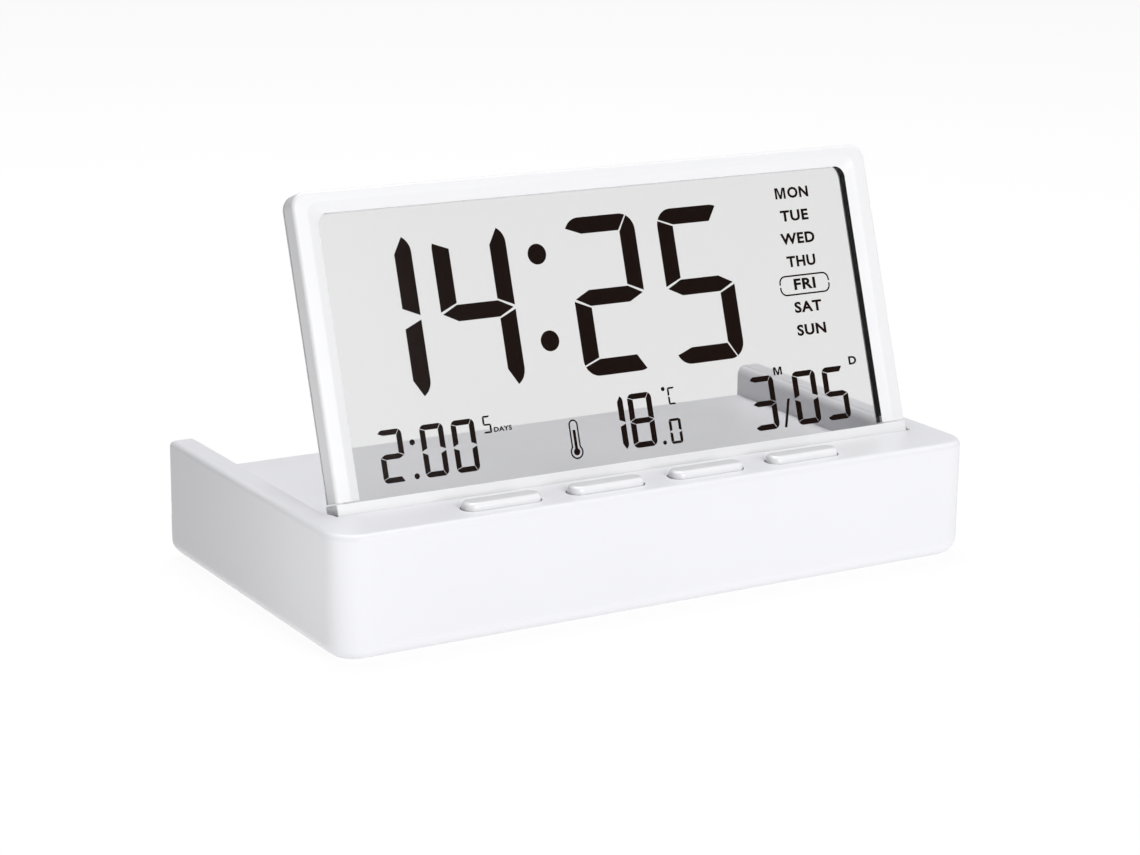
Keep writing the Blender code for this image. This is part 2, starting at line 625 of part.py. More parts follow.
def screen_rail():
    """The full-width rail that carries the hinge barrel and grips the display's lower edge."""
    bottom = arc((0, 0), BARREL_R, -math.pi, 0, 12)
    outline = [*bottom, (BARREL_R, RAIL_TOP), (-BARREL_R, RAIL_TOP)]
    rail = profile_prism("bottom_rail", outline, HALF_S, WHITE_ABS, HINGE)
    slot = WINDOW_X + LCD_MARGIN + GAP
    slot_low = (-slot, plane(LCD_FRONT - GAP), LCD_BOTTOM - GAP)
    cut(rail, box("lcd_slot", slot_low, (slot, plane(LIP_FRONT), FAR), parent=HINGE))
    chamber = (-56 * MM, plane(1.6 * MM), -0.9 * MM), (56 * MM, plane(3.9 * MM), LCD_BOTTOM)
    cut(rail, box("connector_chamber", *chamber, parent=HINGE))
    for side, name in ((-1, "left"), (1, "right")):
        deep = side * (HALF_S - PIN_IN - GAP)
        bore = (deep, 0, 0), (side * (HALF_S + FAR), 0, 0)
        cut(rail, cylinder(f"rail_bore_{name}", *bore, PIN_R + GAP, parent=HINGE, sides=20))
        pin = (side * (HALF_S - PIN_IN), 0, 0), (side * (HALF_S + PIN_OUT), 0, 0)
        cylinder(f"hinge_pin_{name}", *pin, PIN_R, STEEL, HINGE, sides=16)
    strip = (-48 * MM, plane(2.6 * MM), 1.4 * MM), (48 * MM, plane(3.7 * MM), LCD_BOTTOM - GAP)
    box("connector_strip", *strip, ELASTOMER, HINGE)
    tape = (-55.5 * MM, plane(2.0 * MM), -0.5 * MM), (-40 * MM, plane(2.3 * MM), 2.6 * MM)
    box("screen_flex_tape", *tape, CABLE_GREY, HINGE)


LCD_BOTTOM = RAIL_TOP - 1.5 * MM


def display():
    half, top = WINDOW_X + LCD_MARGIN, WINDOW_TOP + LCD_MARGIN
    layers = (
        ("front_polariser", FILM_T, FILM),
        ("lcd_front_glass", GLASS_T, LCD_GLASS),
        ("lcd_rear_glass", GLASS_T, LCD_GLASS),
        ("rear_polariser", FILM_T, FILM),
    )
    depth = LCD_FRONT
    for name, thickness, material in layers:
        low = (-half, plane(depth), LCD_BOTTOM)
        box(name, low, (half, plane(depth + thickness), top), material, HINGE)
        depth += thickness + FILM_GAP


upper_case()
lower_case()
feet_and_screws()
buttons()
board()
batteries()
cables()
screen_frame()
screen_rail()
display()
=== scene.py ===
import json
import math

import bpy
from mathutils import Matrix, Vector


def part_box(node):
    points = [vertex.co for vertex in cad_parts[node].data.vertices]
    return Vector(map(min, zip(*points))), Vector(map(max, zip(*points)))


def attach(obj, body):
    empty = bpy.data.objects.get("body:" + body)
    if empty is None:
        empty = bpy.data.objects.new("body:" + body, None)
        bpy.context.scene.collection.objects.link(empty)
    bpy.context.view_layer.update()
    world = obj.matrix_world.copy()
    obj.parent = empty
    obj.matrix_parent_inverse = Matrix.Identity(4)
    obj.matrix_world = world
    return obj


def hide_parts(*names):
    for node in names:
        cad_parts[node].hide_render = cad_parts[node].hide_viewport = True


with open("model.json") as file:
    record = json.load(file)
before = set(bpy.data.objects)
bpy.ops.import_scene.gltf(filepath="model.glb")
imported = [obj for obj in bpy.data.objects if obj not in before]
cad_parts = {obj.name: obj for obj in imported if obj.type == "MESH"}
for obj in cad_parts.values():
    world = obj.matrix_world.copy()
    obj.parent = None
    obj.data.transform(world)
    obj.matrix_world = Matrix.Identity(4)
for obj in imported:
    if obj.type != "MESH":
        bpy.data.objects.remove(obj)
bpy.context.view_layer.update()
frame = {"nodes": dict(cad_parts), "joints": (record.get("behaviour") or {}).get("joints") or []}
mm = 0.001
touch = 0.01 * mm  # places closer than this count as the same

fold = next(joint for joint in frame["joints"] if joint["name"] == "screen_fold")
hinge = Vector(fold["pos_m"])
lean = math.radians(90 - fold["range_deg"][1])  # how far the open screen leans back from upright

# small tools


def selectOnly(piece):
    bpy.ops.object.select_all(action="DESELECT")
    piece.select_set(True)
    bpy.context.view_layer.objects.active = piece


def addBlock(name, low, high):
    bpy.ops.object.select_all(action="DESELECT")
    bpy.ops.mesh.primitive_cube_add(size=1, location=[(a + b) / 2 for a, b in zip(low, high)])
    piece = bpy.context.object
    piece.name = name
    piece.scale = [b - a for a, b in zip(low, high)]
    bpy.ops.object.transform_apply(location=True, rotation=True, scale=True)
    return piece


def addRod(name, start, end, radius, sides=32):
    start, end = Vector(start), Vector(end)
    bpy.ops.object.select_all(action="DESELECT")
    bpy.ops.mesh.primitive_cylinder_add(vertices=sides, radius=radius, depth=(end - start).length)
    piece = bpy.context.object
    piece.name = name
    turn = Vector((0, 0, 1)).rotation_difference(end - start).to_matrix().to_4x4()
    piece.matrix_world = Matrix.Translation((start + end) / 2) @ turn
    bpy.ops.object.transform_apply(location=True, rotation=True, scale=True)
    return piece


def startEdit(piece, kind):
    # nothing in the mesh is selected afterwards, and kind says what a pick picks
    selectOnly(piece)
    bpy.ops.object.mode_set(mode="EDIT")
    bpy.ops.mesh.select_mode(type=kind)
    bpy.ops.mesh.select_all(action="DESELECT")
    bpy.ops.object.mode_set(mode="OBJECT")


def pickEdges(piece, wanted):
    # wanted is asked for each edge, by its middle and its direction
    startEdit(piece, "EDGE")
    points = piece.data.vertices
    for edge in piece.data.edges:
        a, b = (points[i].co for i in edge.vertices)
        edge.select = bool(wanted((a + b) / 2, (b - a).normalized()))
    bpy.ops.object.mode_set(mode="EDIT")


def pickFaces(piece, wanted):
    startEdit(piece, "FACE")
    for face in piece.data.polygons:
        face.select = bool(wanted(face.center, face.normal))
    bpy.ops.object.mode_set(mode="EDIT")


def endEdit():
    bpy.ops.object.mode_set(mode="OBJECT")


def roundEdges(piece, radius, segments, wanted):
    pickEdges(piece, wanted)
    bpy.ops.mesh.bevel(offset=radius, segments=segments, profile=0.5, affect="EDGES")
    endEdit()


def mergeDoubles(piece, distance):
    startEdit(piece, "VERT")
    bpy.ops.object.mode_set(mode="EDIT")
    bpy.ops.mesh.select_all(action="SELECT")
    bpy.ops.mesh.remove_doubles(threshold=distance)
    bpy.ops.mesh.normals_make_consistent(inside=False)
    endEdit()


def sliceAcross(piece, axis, places):
    # new edge loops at these places, without taking anything away
    startEdit(piece, "FACE")
    bpy.ops.object.mode_set(mode="EDIT")
    for place in places:
        bpy.ops.mesh.select_all(action="SELECT")
        point, way = [0, 0, 0], [0, 0, 0]
        point[axis], way[axis] = place, 1
        bpy.ops.mesh.bisect(plane_co=point, plane_no=way)
    endEdit()


def cutOut(piece, tools):
    # the tools are used up
    for tool in tools:
        selectOnly(piece)
        step = piece.modifiers.new("step", "BOOLEAN")
        step.object = tool
        step.operation = "DIFFERENCE"
        step.solver = "EXACT"
        bpy.ops.object.modifier_apply(modifier=step.name)
        bpy.data.objects.remove(tool)


def smoothOff(piece, angle=32):
    # soft shading over the roundings, with the flat faces kept flat
    selectOnly(piece)
    bpy.ops.object.shade_smooth_by_angle(angle=math.radians(angle))
    step = piece.modifiers.new("flatFaces", "WEIGHTED_NORMAL")
    step.keep_sharp = True
    step.weight = 80
    bpy.ops.object.modifier_apply(modifier=step.name)


def leanBack(piece):
    # from upright about the hinge axis to the open screen's place
    selectOnly(piece)
    piece.location = hinge
    piece.rotation_euler = (-lean, 0, 0)
    bpy.ops.object.transform_apply(location=True, rotation=True, scale=True)


def quarterRound(radius, rise):
    # how far a quarter round pulls in, at this height from where it starts
    rise = min(max(rise, 0), radius)
    return radius - math.sqrt(radius**2 - (radius - rise) ** 2)


def finishPiece(piece, body, material, slot, *nodes):
    piece.data.materials.clear()
    piece.data.materials.append(material)
    piece.data.name = piece.name
    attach(piece, body)
    if nodes:
        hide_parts(*nodes)


# camera, floor, light

cameraView = {
    "place": (-0.26793, -0.44986, 0.16526),
    "pitch": 14.86,  # degrees down
    "yaw": 30.72,
    "roll": 0.64,
    "lens": 86.67,
}
bpy.ops.object.select_all(action="DESELECT")
bpy.ops.object.camera_add()
camera = bpy.context.object
camera.name = "camera"
turnDown = Matrix.Rotation(math.radians(90 - cameraView["pitch"]), 4, "X")
turnAside = Matrix.Rotation(-math.radians(cameraView["yaw"]), 4, "Z")
turnOver = Matrix.Rotation(math.radians(cameraView["roll"]), 4, "Z")
camera.matrix_world = Matrix.Translation(cameraView["place"]) @ turnAside @ turnDown @ turnOver
camera.data.lens = cameraView["lens"]
camera.data.sensor_width = 36
camera.data.clip_start = 0.01
bpy.context.scene.camera = camera
bpy.context.scene.view_settings.view_transform = "Standard"
print("camera ready")


def addNode(tree, kind, inputs, **settings):
    # adds a node, sets it and links it: an input is a plain value or another node's socket
    node = tree.nodes.new(kind)
    for key, value in settings.items():
        setattr(node, key, value)
    for socket, value in inputs.items():
        if isinstance(value, bpy.types.NodeSocket):
            tree.links.new(value, node.inputs[socket])
        else:
            node.inputs[socket].default_value = value
    return node


def linear(hexColour):
    # an sRGB hex colour as linear values
    parts = [int(hexColour[i : i + 2], 16) / 255 for i in (1, 3, 5)]
    return [*(p / 12.92 if p <= 0.04045 else ((p + 0.055) / 1.055) ** 2.4 for p in parts), 1]


floorLook = {
    "size": 9.0,
    "below": 0.02,  # mm under the feet
    "paint": "#4B4B4B",  # dark, since its own light already makes it white
    "ownLight": "#FFFFFF",
    "glow": 0.93,
    "cloudMm": 40.0,
    "gloss": (0.85, 0.95),
}
bpy.ops.mesh.primitive_plane_add(size=floorLook["size"], location=(0, 0, -floorLook["below"] * mm))
floor = bpy.context.object
floor.name = "studioFloor"

studio = {
    "skyLight": 0.04,
    "skyColour": "#F4F6FA",
    "backdrop": "#FFFFFF",
    "aimAt": (0, 0, 0.02),
    "key": {"at": (0.12, -0.92, 0.36), "size": 0.6, "power": 7.35},
    "side": {"at": (-0.12, -0.042, 0.02), "size": 0.05, "power": 0.011},
    "top": {"at": (0.05, 0.25, 0.9), "size": 0.7, "power": 9.0},
}
for name in ("key", "side", "top"):
    lamp = studio[name]
    bpy.ops.object.light_add(type="AREA", location=lamp["at"])
    light = bpy.context.object
    light.name = name + "Light"
    light.data.shape = "DISK"
    light.data.size = lamp["size"]
    light.data.energy = lamp["power"]
    aim = Vector(studio["aimAt"]) - Vector(lamp["at"])
    light.rotation_euler = aim.to_track_quat("-Z", "Y").to_euler()
    light.visible_camera = False

world = bpy.data.worlds.new("studioAir")
world.use_nodes = True
bpy.context.scene.world = world
air = world.node_tree
air.nodes.clear()
# the camera sees a white backdrop, while the clock is lit by a dim sky
ray = addNode(air, "ShaderNodeLightPath", {})
dim = addNode(air, "ShaderNodeBackground", {
    "Color": linear(studio["skyColour"]), "Strength": studio["skyLight"]})
bright = addNode(air, "ShaderNodeBackground", {"Color": linear(studio["backdrop"]), "Strength": 1.0})
seen = addNode(air, "ShaderNodeMixShader", {
    0: ray.outputs["Is Camera Ray"], 1: dim.outputs[0], 2: bright.outputs[0]})
addNode(air, "ShaderNodeOutputWorld", {"Surface": seen.outputs[0]})
print("studio ready")

# materials


def makeMaterial(name, look):
    # two close shades in a slow cloud, and a fine grain in gloss and relief
    material = bpy.data.materials.new(name)
    material.use_nodes = True
    tree = material.node_tree
    tree.nodes.clear()
    place = addNode(tree, "ShaderNodeTexCoord", {}).outputs["Object"]
    if "stretch" in look:
        place = addNode(tree, "ShaderNodeMapping", {"Vector": place, "Scale": look["stretch"]}).outputs[0]
    cloud = addNode(tree, "ShaderNodeTexNoise", {"Vector": place, "Scale": 1000 / look["cloudMm"], "Detail": 3.0})
    grain = addNode(tree, "ShaderNodeTexNoise", {"Vector": place, "Scale": 1000 / look["grainMm"], "Detail": 2.0})
    shade = addNode(tree, "ShaderNodeMix", {
        0: cloud.outputs["Fac"], 6: linear(look["dark"]), 7: linear(look["light"])}, data_type="RGBA")
    colour = shade.outputs[2]
    if "bands" in look:
        colour = addBands(tree, place, colour, look["bands"])
    low, high = look["gloss"]
    gloss = addNode(tree, "ShaderNodeMapRange", {
        "Value": grain.outputs["Fac"], "To Min": low, "To Max": high,
        "From Min": 0.3, "From Max": 0.7})  # noise seldom goes outside these
    relief = addNode(tree, "ShaderNodeBump", {
        "Height": grain.outputs["Fac"], "Strength": look["relief"], "Distance": look["reliefMm"] * mm})
    values = {
        "Base Color": colour,
        "Roughness": gloss.outputs[0],
        "Normal": relief.outputs[0],
        "Metallic": look.get("metal", 0.0),
        "Alpha": look.get("cover", 1.0),
        "Specular IOR Level": look.get("shine", 0.5),
    }
    if "ior" in look:
        values["IOR"] = look["ior"]
    shader = addNode(tree, "ShaderNodeBsdfPrincipled", values)
    addNode(tree, "ShaderNodeOutputMaterial", {"Surface": shader.outputs[0]})
    return material


def addBands(tree, place, colour, bands):
    # a printed stripe that runs round the piece between two places on one axis
    axis, low, high, paint = bands
    along = addNode(tree, "ShaderNodeSeparateXYZ", {"Vector": place}).outputs[axis]
    above = addNode(tree, "ShaderNodeMath", {0: along, 1: low}, operation="GREATER_THAN")
    below = addNode(tree, "ShaderNodeMath", {0: along, 1: high}, operation="LESS_THAN")
    inside = addNode(tree, "ShaderNodeMath", {0: above.outputs[0], 1: below.outputs[0]}, operation="MULTIPLY")
    mix = addNode(tree, "ShaderNodeMix", {0: inside.outputs[0], 6: colour, 7: linear(paint)}, data_type="RGBA")
    return mix.outputs[2]


# moulded ABS, semi-gloss off a polished mould: soft wide highlights, a slow ripple, no visible grain
caseAbs = makeMaterial("absMouldedCase", {
    "dark": "#DFDFE3", "light": "#E3E3E6", "cloudMm": 34.0, "grainMm": 3.2, "gloss": (0.34, 0.40),
    "relief": 0.05, "reliefMm": 0.02, "shine": 0.25})
# the screen's frame: the same plastic, smoother, with painted light: its colour is a little brighter for the
# light its leaning face catches
frameAbsPaintedLit = makeMaterial("absFramePaintedLit", {
    "dark": "#E1E1E3", "light": "#E4E4E5", "cloudMm": 30.0, "grainMm": 4.0, "gloss": (0.32, 0.37),
    "relief": 0.01, "reliefMm": 0.02, "shine": 0.3})
# button caps: polished ABS, worn shiny by fingers
buttonAbs = makeMaterial("absPolishedButton", {
    "dark": "#E3E3E6", "light": "#E7E7E9", "cloudMm": 9.0, "grainMm": 2.2, "gloss": (0.16, 0.22),
    "relief": 0.03, "reliefMm": 0.01, "ior": 1.53})
# underside and door: ABS off a spark-eroded mould, a fine matt grain about 0.45 mm apart
baseAbs = makeMaterial("absTexturedBase", {
    "dark": "#DEDEE2", "light": "#E4E4E7", "cloudMm": 26.0, "grainMm": 0.45, "gloss": (0.42, 0.52),
    "relief": 0.3, "reliefMm": 0.03, "ior": 1.53})
# grey switch plungers: moulded acetal, waxy
plungerPlastic = makeMaterial("acetalMoulded", {
    "dark": "#8E8F93", "light": "#9A9B9F", "cloudMm": 2.0, "grainMm": 0.3, "gloss": (0.3, 0.4),
    "relief": 0.2, "reliefMm": 0.01, "ior": 1.48})
# die-cut foam gasket: dead black, open pores
gasketFoam = makeMaterial("foamGasketDieCut", {
    "dark": "#141410", "light": "#1F1F1B", "cloudMm": 5.0, "grainMm": 0.35, "gloss": (0.65, 0.85),
    "relief": 0.4, "reliefMm": 0.05, "shine": 0.3})
# liquid crystal driven dark: warm black, no gloss of its own
crystalInk = makeMaterial("liquidCrystalDark", {
    "dark": "#1B110E", "light": "#201512", "cloudMm": 4.0, "grainMm": 0.2, "gloss": (0.6, 0.7),
    "relief": 0.0, "reliefMm": 0.001, "shine": 0.0})
# float glass with its polariser film: a neutral grey filter with a fine anti-glare bloom
displayGlass = makeMaterial("glassFloatPolarised", {
    "dark": "#1C1D1C", "light": "#202120", "cloudMm": 40.0, "grainMm": 0.3, "gloss": (0.12, 0.16),
    "relief": 0.02, "reliefMm": 0.002, "cover": 0.065, "shine": 0.2})
# zinc-plated steel: bright, with a fine uneven sheen
zincSteel = makeMaterial("steelZincPlated", {
    "dark": "#A9ABAE", "light": "#C2C4C7", "cloudMm": 3.0, "grainMm": 0.25, "gloss": (0.22, 0.36),
    "relief": 0.15, "reliefMm": 0.01, "metal": 1.0})
# nickel-plated spring strip, rolled: faint lines one way
nickelStrip = makeMaterial("nickelRolledStrip", {
    "dark": "#C3BDB2", "light": "#D6D0C6", "cloudMm": 4.0, "grainMm": 0.3, "gloss": (0.2, 0.32),
    "relief": 0.15, "reliefMm": 0.01, "metal": 1.0, "stretch": (1, 1, 8)})
# stamped brass disc of the sounder: warm yellow with a soft sheen
brassDisc = makeMaterial("brassStamped", {
    "dark": "#C49A4C", "light": "#D9B468", "cloudMm": 6.0, "grainMm": 0.3, "gloss": (0.25, 0.38),
    "relief": 0.15, "reliefMm": 0.01, "metal": 1.0})
# feet: moulded silicone rubber, matt with dust-fine pores
footRubber = makeMaterial("siliconeMouldedFoot", {
    "dark": "#6F7072", "light": "#7E7F81", "cloudMm": 3.0, "grainMm": 0.3, "gloss": (0.7, 0.85),
    "relief": 0.35, "reliefMm": 0.03, "ior": 1.41})
# circuit board: green solder mask, uneven over a glass weave with threads about 0.5 mm apart
boardMask = makeMaterial("solderMaskOnWeave", {
    "dark": "#0F5230", "light": "#1B6B3E", "cloudMm": 7.0, "grainMm": 0.5, "gloss": (0.25, 0.4),
    "relief": 0.25, "reliefMm": 0.02, "ior": 1.5})
# chips and switch bodies: transfer-moulded epoxy, sooty black
chipEpoxy = makeMaterial("epoxyTransferMoulded", {
    "dark": "#161617", "light": "#222224", "cloudMm": 2.0, "grainMm": 0.15, "gloss": (0.5, 0.65),
    "relief": 0.3, "reliefMm": 0.02, "ior": 1.55})
# battery jacket: printed shrink sleeve, dark with one copper band
cellSleeve = makeMaterial("sleeveShrunkOnCell", {
    "dark": "#2B2D31", "light": "#34373C", "cloudMm": 12.0, "grainMm": 0.6, "gloss": (0.2, 0.3),
    "relief": 0.1, "reliefMm": 0.01, "ior": 1.54, "bands": ("X", 0.006, 0.016, "#B7773F")})
# capacitor jacket: heat-shrunk polyester
capacitorSleeve = makeMaterial("polyesterShrunkSleeve", {
    "dark": "#1D3F63", "light": "#28527D", "cloudMm": 2.0, "grainMm": 0.3, "gloss": (0.25, 0.35),
    "relief": 0.1, "reliefMm": 0.01, "ior": 1.57})
# contact strip: silicone with thin carbon layers across its length
zebraStrip = makeMaterial("elastomerLayered", {
    "dark": "#5E1B20", "light": "#8A2C30", "cloudMm": 3.0, "grainMm": 0.5, "gloss": (0.6, 0.75),
    "relief": 0.2, "reliefMm": 0.02, "ior": 1.42, "stretch": (6, 1, 1)})
# hook-up wire and ribbon jackets: extruded PVC
redPvc = makeMaterial("pvcExtrudedRed", {
    "dark": "#9C1410", "light": "#B21D17", "cloudMm": 4.0, "grainMm": 0.3, "gloss": (0.35, 0.45),
    "relief": 0.1, "reliefMm": 0.01, "ior": 1.53})
blackPvc = makeMaterial("pvcExtrudedBlack", {
    "dark": "#151515", "light": "#1F1F1F", "cloudMm": 4.0, "grainMm": 0.3, "gloss": (0.35, 0.45),
    "relief": 0.1, "reliefMm": 0.01, "ior": 1.53})
greyPvc = makeMaterial("pvcExtrudedGrey", {
    "dark": "#8C8D90", "light": "#9B9CA0", "cloudMm": 4.0, "grainMm": 0.3, "gloss": (0.35, 0.45),
    "relief": 0.1, "reliefMm": 0.01, "ior": 1.53})

# floor: rolled paint that gives off light of its own, so that it stays white
floorPaint = bpy.data.materials.new("paintRolledPale")
floorPaint.use_nodes = True
floorTree = floorPaint.node_tree
floorTree.nodes.clear()
floorPlace = addNode(floorTree, "ShaderNodeTexCoord", {}).outputs["Object"]
floorCloud = addNode(floorTree, "ShaderNodeTexNoise", {
    "Vector": floorPlace, "Scale": 1000 / floorLook["cloudMm"]})
floorGloss = addNode(floorTree, "ShaderNodeMapRange", {
    "Value": floorCloud.outputs["Fac"], "To Min": floorLook["gloss"][0], "To Max": floorLook["gloss"][1]})
floorShader = addNode(floorTree, "ShaderNodeBsdfPrincipled", {
    "Base Color": linear(floorLook["paint"]), "Roughness": floorGloss.outputs[0], "Specular IOR Level": 0.0,
    "Emission Color": linear(floorLook["ownLight"]), "Emission Strength": floorLook["glow"]})
addNode(floorTree, "ShaderNodeOutputMaterial", {"Surface": floorShader.outputs[0]})
floor.data.materials.append(floorPaint)
print("materials ready")

# case

# sizes in mm
case = {
    "wall": 1.6, "cornerRadius": 6.2, "backRadius": 1.2, "smallest": 0.25,
    "topRadius": 1.2, "bottomRadius": 3.0, "rearRadius": 5.5,
    "bandTop": 8.8, "bandStep": 0.5,
    "sideWall": 6.0, "floor": 17.3, "floorWall": 1.5,
    "wallTopRadius": 2.0, "ledgeRadius": 0.4, "wallEndRadius": 1.2, "troughRadius": 2.7,
    "bossRadius": 2.6, "bossBore": 1.2, "bossFrom": 5.5, "bossDepth": 12.4, "pinBore": 1.3,
    "slotLength": 16.6, "slotWidth": 4.8,
}
case = {key: value * mm for key, value in case.items()}
caseLow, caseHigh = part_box("upper_case")


def raiseLevels(name, levels, inset):
    # a block on the case's footprint, raised level by level; each level says its height, how far its
    # front and sides are pulled in, and how far its back is
    halfWidth, front, back = caseHigh.x - inset, caseLow.y + inset, caseHigh.y - inset
    frontRadius, backRadius = case["cornerRadius"] - inset, max(case["backRadius"] - inset, case["smallest"])
    heights = [level[0] for level in levels]
    piece = addBlock(name, (-halfWidth, front, heights[0]), (halfWidth, back, heights[1]))
    roundEdges(piece, frontRadius, 14, lambda mid, way: abs(way.z) > 0.99 and mid.y < 0)
    roundEdges(piece, backRadius, 6, lambda mid, way: abs(way.z) > 0.99 and mid.y > 0)
    pickFaces(piece, lambda middle, normal: normal.z > 0.9)
    for below, above in zip(heights[1:], heights[2:]):
        bpy.ops.mesh.extrude_region_move(TRANSFORM_OT_translate={"value": (0, 0, above - below)})
    endEdit()
    for vertex in piece.data.vertices:
        side, behind = min(levels, key=lambda level: abs(level[0] - vertex.co.z))[1:]
        atFront = vertex.co.y < 0
        radius = frontRadius if atFront else backRadius
        pull = side if atFront else behind
        radiusX, radiusY = max(radius - side, case["smallest"]), max(radius - pull, case["smallest"])
        outX = abs(vertex.co.x) - (halfWidth - radius)
        outY = (front + radius - vertex.co.y) if atFront else (vertex.co.y - (back - radius))
        vertex.co.x = math.copysign(halfWidth - side - radiusX + outX * radiusX / radius, vertex.co.x)
        edge = front + pull + radiusY - outY * radiusY / radius
        vertex.co.y = edge if atFront else back - pull - radiusY + outY * radiusY / radius
    return piece


def caseLevels():
    low, high = caseLow.z, caseHigh.z
    bottom, top, band = case["bottomRadius"], case["topRadius"], case["bandTop"]
    rises = [bottom * (1 - math.cos(math.radians(turn))) for turn in range(0, 91, 10)]
    rises += [bottom + (case["rearRadius"] - bottom) * part for part in (0.25, 0.5, 0.75, 1.0)]
    levels = [(low + rise, quarterRound(bottom, rise), quarterRound(case["rearRadius"], rise)) for rise in rises]
    step = case["bandStep"]
    bandEdge = ((-0.3, 0.0), (-0.12, 0.08), (0.0, 0.3))  # mm from the band's top, and mm pulled in there
    levels += [(band + rise * mm, 0, pull * mm) for rise, pull in bandEdge]
    levels.append((band + 0.03 * mm, 0, step))  # the band's narrow shelf
    for turn in range(0, 91, 15):
        pull = top * (1 - math.cos(math.radians(turn)))
        levels.append((high - top + top * math.sin(math.radians(turn)), pull, pull + step))
    return levels


def recessCutter(name, grow, flared):
    # the tray's hollow: leaning ledge face, rounded trough, flat floor, walls that flare at their top
    slope = math.tan(lean)
    half = caseHigh.x - case["sideWall"] + grow
    bottom = case["floor"] - grow
    top, ceiling, past = caseHigh.z, caseHigh.z + 6 * mm, 40 * mm
    trough = case["troughRadius"] + grow
    onLedge = hinge.y - trough * math.cos(lean) + (top - hinge.z - trough * math.sin(lean)) * slope
    piece = addBlock(name, (-half, onLedge, bottom), (half, caseHigh.y + past, ceiling))
    for vertex in piece.data.vertices:
        if vertex.co.y < 0:
            vertex.co.y = onLedge + (vertex.co.z - top) * slope
    reach = trough * math.tan((math.pi / 2 + lean) / 2)
    roundEdges(piece, reach, 10, lambda mid, way: abs(way.x) > 0.99 and mid.y < 0 and mid.z < bottom + 1 * mm)
    if not flared:
        return piece
    wallTop, ledge, wallEnd = case["wallTopRadius"], case["ledgeRadius"], case["wallEndRadius"]
    turns = [math.radians(turn) for turn in range(0, 91, 15)]
    heights = [top - wallTop * (1 - math.sin(turn)) for turn in turns]
    heights += [top - ledge * part for part in (1.0, 0.5, 0.15)]
    sliceAcross(piece, 2, sorted(heights))
    backFace = caseHigh.y - case["bandStep"]
    taper = 5 * mm
    alongWall = [onLedge + taper * part for part in (0.12, 0.3, 0.5, 0.7, 0.88, 1.0)]
    alongWall += [backFace - wallEnd * (1 - math.sin(turn)) for turn in turns]
    sliceAcross(piece, 1, alongWall)
    for vertex in piece.data.vertices:
        x, y, z = vertex.co
        part = min(max((y - onLedge) / taper, 0), 1)
        ending = quarterRound(wallEnd, backFace - y) if y > 0 else 0
        if abs(x) > half - touch:
            flare = quarterRound(wallTop, top - z) * part * part * (3 - 2 * part)
            vertex.co.x = math.copysign(half + max(flare, 0) + ending, x)
        if z < bottom + touch:
            vertex.co.z = bottom - ending
        if abs(y - (onLedge + (z - top) * slope)) < touch:
            vertex.co.y = y - quarterRound(ledge, top - z)
    return piece


def pillBlock(name, x, y, low, high, length, width):
    piece = addBlock(name, (x - length / 2, y - width / 2, low), (x + length / 2, y + width / 2, high))
    roundEdges(piece, width / 2 * 0.999, 10, lambda mid, way: abs(way.z) > 0.99)
    return piece


def buildCase():
    shell = raiseLevels("caseShell", caseLevels(), 0)
    past = 30 * mm
    ceiling = caseHigh.z - case["wall"]
    hollow = raiseLevels("hollow", [(-past, 0, 0), (ceiling, 0, case["bandStep"])], case["wall"])
    grown = recessCutter("grown", case["floorWall"], False)
    bosses = []
    bores = []
    for corner in ("front_left", "front_right", "rear_left", "rear_right"):
        low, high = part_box("case_screw_" + corner)
        x, y = (low.x + high.x) / 2, (low.y + high.y) / 2
        bosses.append(addRod("boss", (x, y, case["bossFrom"]), (x, y, caseHigh.z), case["bossRadius"]))
        bores.append(addRod("bore", (x, y, 0), (x, y, case["bossDepth"]), case["bossBore"]))
    cutOut(hollow, [grown, *bosses])
    cutOut(shell, [hollow, recessCutter("recess", 0, True), *bores])
    for number in range(1, 5):
        low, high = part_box(f"button_{number}")
        x, y = (low.x + high.x) / 2, (low.y + high.y) / 2
        slot = pillBlock("slot", x, y, ceiling - 2 * mm, caseHigh.z + past,
                         case["slotLength"], case["slotWidth"])
        cutOut(shell, [slot])
    for side in (-1, 1):
        inner = side * (caseHigh.x - case["sideWall"] - 1 * mm)
        outer = side * (caseHigh.x - case["sideWall"] + case["floorWall"] + 1 * mm)
        cutOut(shell, [addRod("pinBore", (inner, hinge.y, hinge.z), (outer, hinge.y, hinge.z), case["pinBore"])])
    mergeDoubles(shell, 0.003 * mm)
    smoothOff(shell)
    finishPiece(shell, "base", caseAbs, "white_abs", "upper_case")


buildCase()
print("case ready")

# buttons

# sizes in mm
button = {"flange": 0.8, "flangeThick": 0.6, "crown": 0.95}
button = {key: value * mm for key, value in button.items()}


